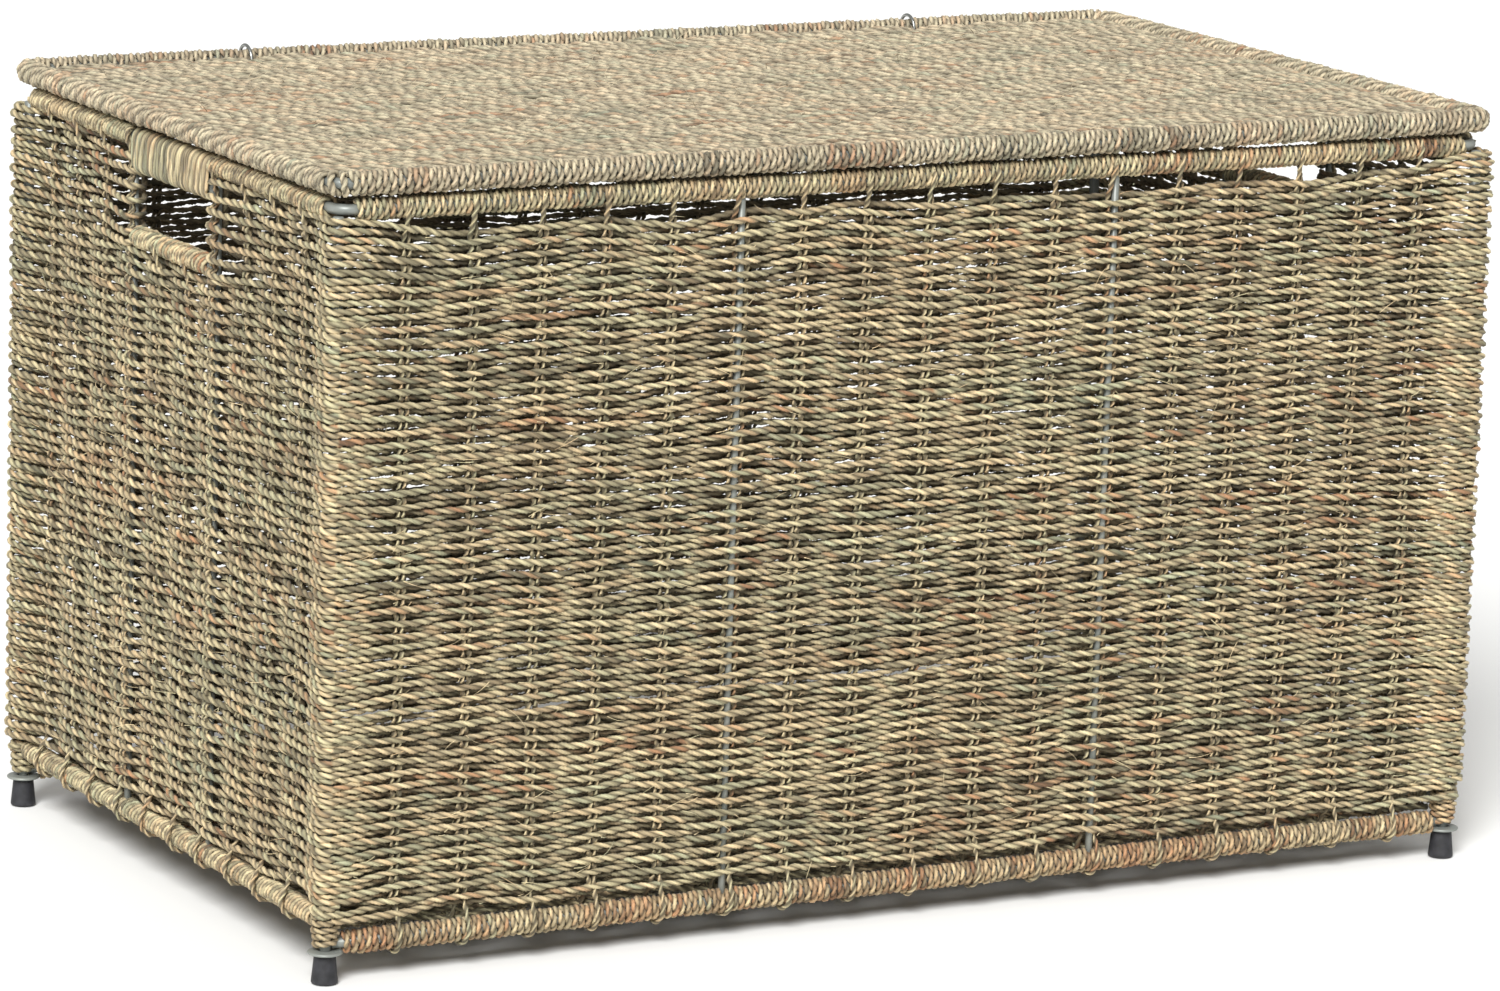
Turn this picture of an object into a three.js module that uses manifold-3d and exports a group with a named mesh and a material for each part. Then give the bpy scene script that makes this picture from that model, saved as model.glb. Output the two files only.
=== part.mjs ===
// Storage trunk: a welded steel rod frame, woven all round with seagrass cord, with a hinged woven lid.
// Millimetres. +X runs along the long side, -Y is the front, +Z is up and z = 0 is the floor.

import * as THREE from 'three';
import { mergeVertices } from 'three/addons/utils/BufferGeometryUtils.js';
import Module from 'manifold-3d';

const wasm = await Module();
wasm.setup();

// ---- Driving dimensions -------------------------------------------------------------------------

// The frame, measured between rod axes
const frameLength = 711;
const frameDepth = 412;
const topRingHeight = 415.7;
const railGap = 0.5;             // between a foot flange and the bottom rod above it
const endRailRise = 13;          // bottom rods under the two ends sit this much higher
const ringBend = 9;              // bend at the corners of the top ring
const lidBend = 9;               // bend at the corners of the lid frame
const lidOverhang = 3;           // lid frame beyond the top ring, all round
const uprightOffset = 117;       // uprights in the front and back walls, from the middle

// Rod and cord
const frameRod = 6;
const upright = 4;
const crossRod = 4;
const bodyWhipping = 3.5;        // cord wound round the rods of the body
const lidWhipping = 4;           // cord wound round the rim of the lid
const bareCorner = 10;           // rod left bare at each corner of the body
const wallThickness = 9;         // weft in front, warp, weft behind
const cornerTurn = 8.5;          // radius of the weft round a corner post
const baseThickness = 8;
const lidThickness = 8;

// Handles in the two ends
const handleWidth = 102;
const gripDrop = 14.2;           // second grip rod below the top ring
const handleHeight = 28.5;       // clear height between grip and sill

// Feet
const footHeight = 15.8;
const footTop = 11.5;
const footBottom = 14.5;
const footFloor = 4;             // rubber left under the end of the post
const flangeDiameter = 19;
const flangeThickness = 1.6;

// Hinges
const hingeOffset = 220;
const hingeWire = 2;
const hingePlay = 0.5;
const hingeSlot = 18;            // how far the lid weave stands back from the hinge axis at a loop

// Clearances
const clearance = 0.3;           // between pieces that touch
const lidGap = 0.8;              // between the closed lid and the top ring
const longStrip = 5;             // open strip between a whipped rod and the weave, front and back
const endStrip = 1.5;            // the same at the ends

const rodSides = 10;
const wrapSides = 12;
const footSides = 16;
const bendStep = Math.PI / 12;
const bendLead = 2;              // straight length past a bend

// ---- Worked out from the above ------------------------------------------------------------------

const halfLength = frameLength / 2;
const halfDepth = frameDepth / 2;
const lidHalfLength = halfLength + lidOverhang;
const lidHalfDepth = halfDepth + lidOverhang;
const bodyWrap = frameRod + 2 * bodyWhipping;
const lidWrap = frameRod + 2 * lidWhipping;
const longRailHeight = footHeight + clearance + flangeThickness + railGap + frameRod / 2;
const endRailHeight = longRailHeight + endRailRise;
const lidHeight = topRingHeight + bodyWrap / 2 + lidGap + lidWrap / 2;
const gripRodHeight = topRingHeight - gripDrop;
const sillHeight = gripRodHeight - bodyWrap - handleHeight;
const jamb = handleWidth / 2 + wallThickness / 2;
const endSides = [['left', -1], ['right', 1]];
const longSides = [['front', -1], ['back', 1]];

// ---- Materials ----------------------------------------------------------------------------------

const finish = (color, roughness, metalness = 0) => () =>
  new THREE.MeshStandardMaterial({ color, roughness, metalness });
const paintedSteel = finish(0xaeab9e, 0.5, 0.2);
const wallCord = finish(0x968a6e, 0.85);
const whippingCord = finish(0x9e8f75, 0.85);
const lidCord = finish(0xc0b096, 0.85);
const blackRubber = finish(0x39383d, 0.7);
const hingeSteel = finish(0x9a9c98, 0.35, 0.8);

// ---- Shapes -------------------------------------------------------------------------------------

function circle(diameter, sides) {
  const points = [];
  for (let i = 0; i < sides; i++) {
    const angle = (2 * Math.PI * i) / sides;
    points.push(new THREE.Vector2(Math.cos(angle), Math.sin(angle)).multiplyScalar(diameter / 2));
  }
  return points;
}

// A hole whose flats, not corners, stand clear of the rod in it.
const boreFor = (diameter) => circle((diameter + 2 * clearance) / Math.cos(Math.PI / rodSides), rodSides);

// Turns a shape that was built along Z so that it lies along X or Y.
function along(geometry, axis) {
  if (axis === 'x') geometry.rotateY(Math.PI / 2);
  if (axis === 'y') geometry.rotateX(-Math.PI / 2);
  return geometry;
}

function bar(outline, length, axis, holes = []) {
  const shape = new THREE.Shape(outline);
  shape.holes = holes.map((hole) => new THREE.Path(hole));
  const geometry = new THREE.ExtrudeGeometry(shape, { depth: length, bevelEnabled: false });
  return along(geometry.translate(0, 0, -length / 2), axis);
}

const rod = (diameter, length, axis) => bar(circle(diameter, rodSides), length, axis);
const wrap = (diameter, length, axis) =>
  bar(circle(diameter, wrapSides), length, axis, [boreFor(frameRod)]);

// Space that a rod takes, with its clearance, to be cut out of what it passes through.
const passage = (diameter, length, axis) => bar(boreFor(diameter), length, axis);

// A flat route through given points, along which a section is swept without twist.
class RodPath extends THREE.Curve {
  constructor(points, planeNormal) {
    super();
    this.points = points;
    this.planeNormal = planeNormal;
  }

  getSpacedPoints() {
    return this.points;
  }

  computeFrenetFrames() {
    const last = this.points.length - 1;
    const tangents = this.points.map((point, i) => {
      const before = this.points[Math.max(i - 1, 0)];
      const after = this.points[Math.min(i + 1, last)];
      const arriving = point.clone().sub(before).normalize();
      const leaving = after.clone().sub(point).normalize();
      return arriving.add(leaving).normalize();
    });
    const normals = tangents.map(() => this.planeNormal.clone());
    const binormals = tangents.map((tangent) => tangent.clone().cross(this.planeNormal));
    return { tangents, normals, binormals };
  }
}

function sweep(outline, points, planeNormal, holes = []) {
  const shape = new THREE.Shape(outline);
  shape.holes = holes.map((hole) => new THREE.Path(hole));
  const extrudePath = new RodPath(points, planeNormal);
  return new THREE.ExtrudeGeometry(shape, { steps: points.length - 1, extrudePath });
}

// Points of an arc about (x, y), both ends included.
function arc(x, y, radius, from, to) {
  const steps = Math.ceil(Math.abs(to - from) / bendStep - 1e-6);
  const points = [];
  for (let i = 0; i <= steps; i++) {
    const angle = from + ((to - from) * i) / steps;
    points.push(new THREE.Vector2(x + radius * Math.cos(angle), y + radius * Math.sin(angle)));
  }
  return points;
}

const flat = (points) => points.map((point) => new THREE.Vector3(point.x, point.y, 0));

// Half of a rounded rectangle: one long side on the -Y edge, the bends at both its ends and a
// short straight lead past each bend, so that the ends are square.
function halfFrame(bend, reachX, reachY) {
  const end = -reachY + bend + bendLead;
  return [
    new THREE.Vector2(-reachX, end),
    ...arc(-reachX + bend, -reachY + bend, bend, Math.PI, 1.5 * Math.PI),
    ...arc(reachX - bend, -reachY + bend, bend, 1.5 * Math.PI, 2 * Math.PI),
    new THREE.Vector2(reachX, end),
  ];
}

// A rod bent into a closed frame, its two ends meeting in the middle of the back.
function frameRoute(bend, reachX, reachY) {
  const front = halfFrame(bend, reachX, reachY);
  const back = front.map((point) => new THREE.Vector2(-point.x, -point.y));
  const backRight = back.slice(0, back.length / 2);
  const backLeft = back.slice(back.length / 2);
  const weld = clearance / 2;
  return flat([
    new THREE.Vector2(-weld, reachY), ...backLeft, ...front, ...backRight,
    new THREE.Vector2(weld, reachY),
  ]);
}

function toSolid(geometry) {
  const bare = geometry.clone();
  bare.deleteAttribute('normal');
  bare.deleteAttribute('uv');
  const merged = mergeVertices(bare, 1e-4);
  return new wasm.Manifold(new wasm.Mesh({
    numProp: 3,
    vertProperties: new Float32Array(merged.attributes.position.array),
    triVerts: new Uint32Array(merged.index.array),
  }));
}

function cut(geometry, ...tools) {
  const solid = tools.reduce((left, tool) => left.subtract(toSolid(tool)), toSolid(geometry));
  const mesh = solid.getMesh();
  const result = new THREE.BufferGeometry();
  result.setAttribute('position', new THREE.BufferAttribute(mesh.vertProperties, 3));
  result.setIndex(new THREE.BufferAttribute(mesh.triVerts, 1));
  result.computeVertexNormals();
  return result;
}

// ---- Placing ------------------------------------------------------------------------------------

const trunk = new THREE.Group();
const lid = new THREE.Group();               // turns about the axis of its own back rim
lid.position.set(0, lidHalfDepth, lidHeight);
trunk.add(lid);

function place(name, geometry, material, x, y, z, parent = trunk) {
  const mesh = new THREE.Mesh(geometry, material());
  mesh.name = name;
  mesh.position.set(x, y, z);
  parent.add(mesh);
  return mesh;
}

// ---- Frame --------------------------------------------------------------------------------------

function buildCorner(name, x, y) {
  const postBottom = footFloor + clearance;
  const postTop = topRingHeight - frameRod / 2 - clearance;
  const postLength = postTop - postBottom;
  place(`corner_post_${name}`, rod(frameRod, postLength, 'z'), paintedSteel, x, y,
    postBottom + postLength / 2);

  const bore = (frameRod / 2 + clearance) / Math.cos(Math.PI / rodSides);
  const capProfile = [
    [0, 0], [footBottom / 2, 0], [footTop / 2, footHeight], [bore, footHeight],
    [bore, footFloor], [0, footFloor],
  ].map(([radius, height]) => new THREE.Vector2(radius, height));
  const cap = new THREE.LatheGeometry(capProfile, footSides).rotateX(Math.PI / 2);
  place(`foot_cap_${name}`, cap, blackRubber, x, y, 0);

  const flange = bar(circle(flangeDiameter, footSides), flangeThickness, 'z', [boreFor(frameRod)]);
  place(`foot_flange_${name}`, flange, paintedSteel, x, y,
    footHeight + clearance + flangeThickness / 2);
}

function buildFrame() {
  for (const [longName, longSide] of longSides) {
    for (const [endName, endSide] of endSides) {
      buildCorner(`${longName}_${endName}`, endSide * halfLength, longSide * halfDepth);
    }
  }
  const ringRoute = frameRoute(ringBend, halfLength, halfDepth);
  place('top_ring_rod', sweep(circle(frameRod, rodSides), ringRoute, new THREE.Vector3(0, 0, 1)),
    paintedSteel, 0, 0, topRingHeight);

  const railTrim = frameRod + 2 * clearance;          // the rails butt against the posts
  for (const [name, side] of longSides) {
    place(`bottom_rod_${name}`, rod(frameRod, frameLength - railTrim, 'x'), paintedSteel,
      0, side * halfDepth, longRailHeight);
  }
  for (const [name, side] of endSides) {
    place(`bottom_rod_${name}`, rod(frameRod, frameDepth - railTrim, 'y'), paintedSteel,
      side * halfLength, 0, endRailHeight);
    place(`base_cross_rod_${name}`, rod(crossRod, frameDepth - railTrim, 'y'), paintedSteel,
      side * uprightOffset, 0, longRailHeight);
  }
}

// Uprights stand between a bottom rail and the top ring.
function placeUpright(name, x, y, railHeight) {
  const bottom = railHeight + frameRod / 2 + clearance;
  const top = topRingHeight - frameRod / 2 - clearance;
  place(name, rod(upright, top - bottom, 'z'), paintedSteel, x, y, (bottom + top) / 2);
}

function buildUprights() {
  for (const [longName, longSide] of longSides) {
    for (const [endName, endSide] of endSides) {
      placeUpright(`${longName}_upright_${endName}`, endSide * uprightOffset, longSide * halfDepth,
        longRailHeight);
      placeUpright(`${endName}_end_upright_${longName}`, endSide * halfLength, longSide * jamb,
        endRailHeight);
    }
  }
}

// ---- Whipping -----------------------------------------------------------------------------------

// Cuts for the rods that meet a whipped rod: uprights from above or below, cross rods from inside.
function stubs(diameter, axis, places) {
  const length = bodyWrap;
  const shift = { x: [1, 0, 0], y: [0, 1, 0], z: [0, 0, 1] }[axis];
  return places.map(([x, y, direction]) => passage(diameter, length, axis).translate(
    x + (direction * shift[0] * length) / 2,
    y + (direction * shift[1] * length) / 2,
    (direction * shift[2] * length) / 2,
  ));
}

function buildLongWhipping() {
  const length = frameLength - 2 * bareCorner;
  const ends = [-uprightOffset, uprightOffset];
  for (const [name, side] of longSides) {
    const fromBelow = stubs(upright, 'z', ends.map((x) => [x, 0, -1]));
    place(`top_wrap_${name}`, cut(wrap(bodyWrap, length, 'x'), ...fromBelow), whippingCord,
      0, side * halfDepth, topRingHeight);
    const fromAbove = stubs(upright, 'z', ends.map((x) => [x, 0, 1]));
    const fromInside = stubs(crossRod, 'y', ends.map((x) => [x, 0, -side]));
    place(`bottom_wrap_${name}`, cut(wrap(bodyWrap, length, 'x'), ...fromAbove, ...fromInside),
      whippingCord, 0, side * halfDepth, longRailHeight);
  }
}

function buildEndWhipping() {
  const shoulder = halfDepth - bareCorner;              // whipping ends here, short of the corner
  const gripEnd = handleWidth / 2 - 1;
  const sideStart = gripEnd + clearance;
  const sideLength = shoulder - sideStart;
  const sideMiddle = (shoulder + sideStart) / 2;
  const stadium = (radius) => [
    ...arc(0, 0, radius, 0, Math.PI),
    ...arc(0, -gripDrop, radius, Math.PI, 2 * Math.PI),
  ];
  for (const [name, side] of endSides) {
    const x = side * halfLength;
    place(`bottom_wrap_${name}`,
      cut(wrap(bodyWrap, 2 * shoulder, 'y'), ...stubs(upright, 'z', [[0, -jamb, 1], [0, jamb, 1]])),
      whippingCord, x, 0, endRailHeight);
    for (const [longName, longSide] of longSides) {
      place(`top_wrap_${name}_${longName}`,
        cut(wrap(bodyWrap, sideLength, 'y'), ...stubs(upright, 'z', [[0, longSide * (jamb - sideMiddle), -1]])),
        whippingCord, x, longSide * sideMiddle, topRingHeight);
    }
    const grip = bar(stadium(bodyWrap / 2), 2 * gripEnd, 'z', [stadium(frameRod / 2 + clearance)]);
    place(`grip_wrap_${name}`, grip.rotateX(Math.PI / 2), whippingCord, x, 0, topRingHeight);
    const sillWrap = wrap(bodyWrap, 2 * gripEnd, 'y');
    place(`sill_wrap_${name}`, sillWrap, whippingCord, x, 0, sillHeight);
    const handleRodLength = 2 * (jamb - upright / 2 - clearance);
    place(`grip_rod_${name}`, rod(frameRod, handleRodLength, 'y'), paintedSteel, x, 0, gripRodHeight);
    place(`sill_rod_${name}`, rod(frameRod, handleRodLength, 'y'), paintedSteel, x, 0, sillHeight);
  }
}

// ---- Woven walls --------------------------------------------------------------------------------

// The long walls run round the corner posts; the end walls fit between them.
function buildLongWalls() {
  const bottom = longRailHeight + bodyWrap / 2 + longStrip;
  const top = topRingHeight - bodyWrap / 2 - longStrip;
  const height = top - bottom;
  const middle = (top + bottom) / 2;
  const meet = Math.PI - Math.asin(wallThickness / 2 / cornerTurn);   // where the turn meets the wall
  const outline = [
    ...arc(halfLength, 0, cornerTurn, -meet, meet),
    ...arc(-halfLength, 0, cornerTurn, Math.PI - meet, Math.PI + meet),
  ];
  const shifted = (points, x) => points.map((point) => new THREE.Vector2(point.x + x, point.y));
  const holes = [-1, 1].flatMap((side) => [
    shifted(boreFor(frameRod), side * halfLength),
    shifted(boreFor(upright), side * uprightOffset),
  ]);
  for (const [name, side] of longSides) {
    const railEnds = [-halfLength, halfLength].map((x) =>
      passage(frameRod, 2 * wallThickness, 'y').translate(x, -side * wallThickness, endRailHeight - middle));
    place(`${name}_weave`, cut(bar(outline, height, 'z', holes), ...railEnds), wallCord,
      0, side * halfDepth, middle);
  }
}

function buildEndWalls() {
  const bottom = endRailHeight + bodyWrap / 2 + endStrip;
  const top = topRingHeight - bodyWrap / 2 - endStrip;
  const edge = halfDepth - cornerTurn - clearance;
  const notch = handleWidth / 2;
  const notchBottom = sillHeight - bodyWrap / 2 - clearance;
  const outline = [
    [-edge, bottom], [edge, bottom], [edge, top], [notch, top], [notch, notchBottom],
    [-notch, notchBottom], [-notch, top], [-edge, top],
  ].map(([y, z]) => new THREE.Vector2(y, z));
  for (const [name, side] of endSides) {
    const wall = bar(outline, wallThickness, 'z').rotateX(Math.PI / 2).rotateZ(Math.PI / 2);
    const uprights = [-jamb, jamb].map((y) =>
      passage(upright, 2 * topRingHeight, 'z').translate(0, y, 0));
    const handleRods = [gripRodHeight, sillHeight].map((z) =>
      passage(frameRod, 2 * jamb, 'y').translate(0, 0, z));
    place(`${name}_weave`, cut(wall, ...uprights, ...handleRods), wallCord, side * halfLength, 0, 0);
  }
}

function buildBase() {
  const inset = bodyWrap / 2 + clearance;
  const base = new THREE.BoxGeometry(frameLength - 2 * inset, frameDepth - 2 * inset, baseThickness);
  place('base_weave', base, wallCord, 0, 0,
    longRailHeight + crossRod / 2 + clearance + baseThickness / 2);
}

// ---- Lid ----------------------------------------------------------------------------------------

function buildLid() {
  const up = new THREE.Vector3(0, 0, 1);
  const inPlace = (name, geometry, material, x = 0, y = 0) =>
    place(name, geometry, material, x, y - lidHalfDepth, 0, lid);
  const rimRoute = frameRoute(lidBend, lidHalfLength, lidHalfDepth);
  inPlace('lid_frame_rod', sweep(circle(frameRod, rodSides), rimRoute, up), paintedSteel);

  const section = circle(lidWrap, wrapSides);
  const crossStubs = (side) => stubs(crossRod, 'y', [
    [-uprightOffset, side * lidHalfDepth, -side], [uprightOffset, side * lidHalfDepth, -side]]);
  for (const [name, side] of longSides) {
    const half = halfFrame(lidBend, lidHalfLength, lidHalfDepth);
    const route = flat(half.map((point) => point.multiplyScalar(-side)));
    inPlace(`lid_wrap_${name}`, cut(sweep(section, route, up, [boreFor(frameRod)]), ...crossStubs(side)),
      lidCord);
  }
  for (const [name, side] of endSides) {
    const length = 2 * (lidHalfDepth - lidBend - bendLead - clearance);
    inPlace(`lid_wrap_${name}`, wrap(lidWrap, length, 'y'), lidCord, side * lidHalfLength);
    const crossLength = 2 * lidHalfDepth - frameRod - 2 * clearance;
    inPlace(`lid_cross_rod_${name}`, rod(crossRod, crossLength, 'y'), paintedSteel, side * uprightOffset);
  }

  // The weave fills the frame, with a slot at each hinge loop.
  const edgeX = lidHalfLength - lidWrap / 2 - clearance;
  const edgeY = lidHalfDepth - lidWrap / 2 - clearance;
  const corner = Math.max(lidBend - lidWrap / 2, 1);
  const slotHalf = hingeWire / 2 + 2 * hingePlay;
  const slotDepth = lidHalfDepth - hingeSlot;
  const slot = (x) => [
    [x + slotHalf, edgeY], [x + slotHalf, slotDepth], [x - slotHalf, slotDepth], [x - slotHalf, edgeY],
  ].map(([px, py]) => new THREE.Vector2(px, py));
  const outline = [
    ...arc(-edgeX + corner, -edgeY + corner, corner, Math.PI, 1.5 * Math.PI),
    ...arc(edgeX - corner, -edgeY + corner, corner, 1.5 * Math.PI, 2 * Math.PI),
    ...arc(edgeX - corner, edgeY - corner, corner, 0, Math.PI / 2),
    ...slot(hingeOffset), ...slot(-hingeOffset),
    ...arc(-edgeX + corner, edgeY - corner, corner, Math.PI / 2, Math.PI),
  ];
  const crossPassages = [-uprightOffset, uprightOffset].map((x) =>
    passage(crossRod, 2 * lidHalfDepth, 'y').translate(x, 0, 0));
  inPlace('lid_weave', cut(bar(outline, lidThickness, 'z'), ...crossPassages), lidCord);
}

// A wire loop round the back rim of the lid and the back of the top ring, its ends meeting below.
function buildHinges() {
  const radius = Math.max(lidWrap, bodyWrap) / 2 + hingePlay + hingeWire / 2;
  const drop = lidHeight - topRingHeight;
  const lean = Math.atan2(lidOverhang, drop);           // the ring lies a little inside the lid rim
  const openAngle = clearance / radius;
  const route = [
    ...arc(-lidOverhang, -drop, radius, -Math.PI / 2 - lean + openAngle, -lean),
    ...arc(0, 0, radius, -lean, Math.PI - lean),
    ...arc(-lidOverhang, -drop, radius, Math.PI - lean, 1.5 * Math.PI - lean - openAngle),
  ].map((point) => new THREE.Vector3(0, point.x, point.y));
  for (const [name, side] of endSides) {
    place(`hinge_loop_${name}`,
      sweep(circle(hingeWire, 8), route, new THREE.Vector3(1, 0, 0)),
      hingeSteel, side * hingeOffset, lidHalfDepth, lidHeight);
  }
}

buildFrame();
buildUprights();
buildLongWhipping();
buildEndWhipping();
buildLongWalls();
buildEndWalls();
buildBase();
buildLid();
buildHinges();

export default trunk;
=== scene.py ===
import math

import bpy
import numpy as np
from mathutils import Matrix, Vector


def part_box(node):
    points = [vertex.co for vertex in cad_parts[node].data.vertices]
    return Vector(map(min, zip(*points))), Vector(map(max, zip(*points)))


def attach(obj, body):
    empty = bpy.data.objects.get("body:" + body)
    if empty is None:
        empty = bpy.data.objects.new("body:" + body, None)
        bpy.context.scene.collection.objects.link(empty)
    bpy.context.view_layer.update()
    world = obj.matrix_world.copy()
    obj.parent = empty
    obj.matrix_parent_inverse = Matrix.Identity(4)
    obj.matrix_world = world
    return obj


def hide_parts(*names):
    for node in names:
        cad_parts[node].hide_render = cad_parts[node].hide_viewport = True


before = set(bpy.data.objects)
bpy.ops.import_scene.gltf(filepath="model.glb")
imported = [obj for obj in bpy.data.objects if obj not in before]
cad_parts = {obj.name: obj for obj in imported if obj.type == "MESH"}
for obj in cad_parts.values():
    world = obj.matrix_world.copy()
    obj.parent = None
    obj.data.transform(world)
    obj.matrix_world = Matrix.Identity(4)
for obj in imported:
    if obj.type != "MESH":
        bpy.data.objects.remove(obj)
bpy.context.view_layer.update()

# Sizes are in millimetres until a mesh is stored, which is in metres.
millimetre = 0.001


def middleOf(node):
    low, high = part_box(node)
    return (np.array(low) + np.array(high)) / 2 / millimetre


# Rod axes, read off the frame.
halfLength = middleOf("corner_post_front_right")[0]
halfDepth = middleOf("corner_post_back_right")[1]
ringHeight = middleOf("top_ring_rod")[2]
rimHeight = middleOf("lid_frame_rod")[2]
longRail = middleOf("bottom_rod_front")[2]
endRail = middleOf("bottom_rod_left")[2]
gripHeight = middleOf("grip_rod_left")[2]
sillHeight = middleOf("sill_rod_left")[2]
uprightX = middleOf("front_upright_right")[0]
jambY = middleOf("left_end_upright_back")[1]
hingeX = middleOf("hinge_loop_right")[0]
baseHeight = middleOf("base_weave")[2]
endNames = {"left": -1, "right": 1}
longNames = {"front": -1, "back": 1}
rodRadius = 3
lidHalfLength, lidHalfDepth = (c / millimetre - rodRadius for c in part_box("lid_frame_rod")[1][:2])
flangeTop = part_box("foot_flange_front_left")[1][2] / millimetre


# Colours and nodes

def linearColor(text):
    channels = [int(text[i:i + 2], 16) / 255 for i in (1, 3, 5)]
    return [c / 12.92 if c <= 0.04045 else ((c + 0.055) / 1.055) ** 2.4 for c in channels] + [1]


def addNode(tree, kind, settings=None, links=None):
    node = tree.nodes.new(kind)
    for name, value in (settings or {}).items():
        if isinstance(name, int) or name in node.inputs:
            node.inputs[name].default_value = value
        else:
            setattr(node, name, value)
    for name, source in (links or {}).items():
        tree.links.new(source, node.inputs[name])
    return node


def addRamp(tree, value, stops):
    node = addNode(tree, "ShaderNodeValToRGB", links={"Fac": value})
    elements = node.color_ramp.elements
    while len(elements) > 1:
        elements.remove(elements[-1])
    for i, (position, color) in enumerate(stops):
        element = elements[0] if i == 0 else elements.new(position)
        element.position = position
        element.color = linearColor(color) if isinstance(color, str) else [color] * 3 + [1]
    return node.outputs["Color"]


# Noise with grains of a size in millimetres, fixed to the object.
def addGrains(tree, size, settings):
    place = addNode(tree, "ShaderNodeTexCoord")
    node = addNode(tree, "ShaderNodeTexNoise", {"Scale": 1000 / size, **settings},
                   {"Vector": place.outputs["Object"]})
    return node.outputs["Fac"]


def setRoughness(tree, shader, value, ends):
    spread = addNode(tree, "ShaderNodeMapRange", {"To Min": ends[0], "To Max": ends[1]}, {"Value": value})
    tree.links.new(spread.outputs["Result"], shader.inputs["Roughness"])


def setRelief(tree, shader, height, strength, depth):
    relief = addNode(tree, "ShaderNodeBump", {"Strength": strength, "Distance": depth * millimetre},
                     {"Height": height})
    tree.links.new(relief.outputs["Normal"], shader.inputs["Normal"])


def startMaterial(name):
    material = bpy.data.materials.new(name)
    material.use_nodes = True
    tree = material.node_tree
    return material, tree, tree.nodes["Principled BSDF"]


# Dried seagrass, cut to blades and twisted by hand into two-ply cord. Each ply keeps the streaks
# of its blades, so the eye sees long fine lines that turn round the cord, with dull highlights.
def seagrass(name, look):
    material, tree, shader = startMaterial(name)
    tone, hue, groove, fibre = (addNode(tree, "ShaderNodeAttribute", {"attribute_name": attribute})
                                for attribute in ("tone", "hue", "groove", "fibre"))

    # Blade streaks: a few tenths of a millimetre wide and about a centimetre long.
    acrossBlade = 1 / look["streakWidth"]
    stretched = addNode(tree, "ShaderNodeMapping",
                        {"Scale": (1 / look["streakLength"], acrossBlade, acrossBlade)},
                        {"Vector": fibre.outputs["Vector"]})
    streakNoise = addNode(tree, "ShaderNodeTexNoise", {"Scale": 1, "Detail": 3, "Roughness": 0.6},
                          {"Vector": stretched.outputs["Vector"]})
    streaks = streakNoise.outputs["Fac"]
    # Patches where one bundle of grass was greener or browner than the next.
    patches = addGrains(tree, look["patchSize"], {"Detail": 2})
    patchShift = addNode(tree, "ShaderNodeMapRange",
                         {"From Min": 0.3, "From Max": 0.7, "To Min": -look["patchShift"],
                          "To Max": look["patchShift"]}, {"Value": patches})
    shiftedHue = addNode(tree, "ShaderNodeMath", {"operation": "ADD"},
                         {0: hue.outputs["Fac"], 1: patchShift.outputs["Result"]})
    color = addRamp(tree, shiftedHue.outputs["Value"], look["grass"])
    # Light and dark blades, then the streaks within one blade.
    for value, stops in ((tone.outputs["Fac"], look["bladeShade"]), (streaks, look["streakShade"])):
        shaded = addNode(tree, "ShaderNodeMix", {"data_type": "RGBA", "blend_type": "MULTIPLY", 0: 1},
                         {6: color, 7: addRamp(tree, value, stops)})
        color = shaded.outputs[2]
    # Painted shade: the colour turns to a dark brown in the crease between the two plies, and where a cord
    # lies deep in the weave.
    paintedShadeAmount = addNode(tree, "ShaderNodeMath", {"operation": "MULTIPLY", 1: look["paintedShadeStrength"]},
                           {0: groove.outputs["Fac"]})
    withPaintedShade = addNode(tree, "ShaderNodeMix", {"data_type": "RGBA", 7: linearColor(look["paintedShadeColor"])},
                    {0: paintedShadeAmount.outputs["Value"], 6: color})
    tree.links.new(withPaintedShade.outputs[2], shader.inputs["Base Color"])
    setRoughness(tree, shader, streaks, look["roughness"])
    setRelief(tree, shader, streaks, look["bump"], look["relief"])
    shader.inputs["IOR"].default_value = look["refraction"]
    shader.inputs["Sheen Weight"].default_value = look["sheen"]
    shader.inputs["Sheen Roughness"].default_value = look["sheenRoughness"]
    return material


wallGrassLook = {
    "streakLength": 9,
    "streakWidth": 0.35,
    "patchSize": 90,
    "patchShift": 0.10,
    "grass": [(0.0, "#b9bb98"), (0.3, "#cdc299"), (0.55, "#dfca9f"), (0.8, "#d6b88c"), (1.0, "#bf9068")],
    "bladeShade": [(0.0, 0.34), (0.5, 0.82), (1.0, 1.2)],
    "streakShade": [(0.3, 0.45), (0.5, 0.95), (0.7, 1.15)],
    # colour and strength of the painted shade in the crease between the plies and deep in the weave
    "paintedShadeColor": "#2f2515",
    "paintedShadeStrength": 0.85,
    "roughness": (0.55, 0.8),
    "bump": 0.5,
    "relief": 0.25,
    "refraction": 1.5,
    "sheen": 0.08,
    "sheenRoughness": 0.5,
}
whippingGrassLook = {**wallGrassLook, "patchSize": 60, "patchShift": 0.14}
lidGrassLook = {
    **wallGrassLook,
    "grass": [(0.0, "#b8b79b"), (0.3, "#c9be9f"), (0.55, "#d5c5a5"), (0.8, "#d1b896"), (1.0, "#b99170")],
    "bladeShade": [(0.0, 0.36), (0.5, 0.85), (1.0, 1.15)],
}


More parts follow.
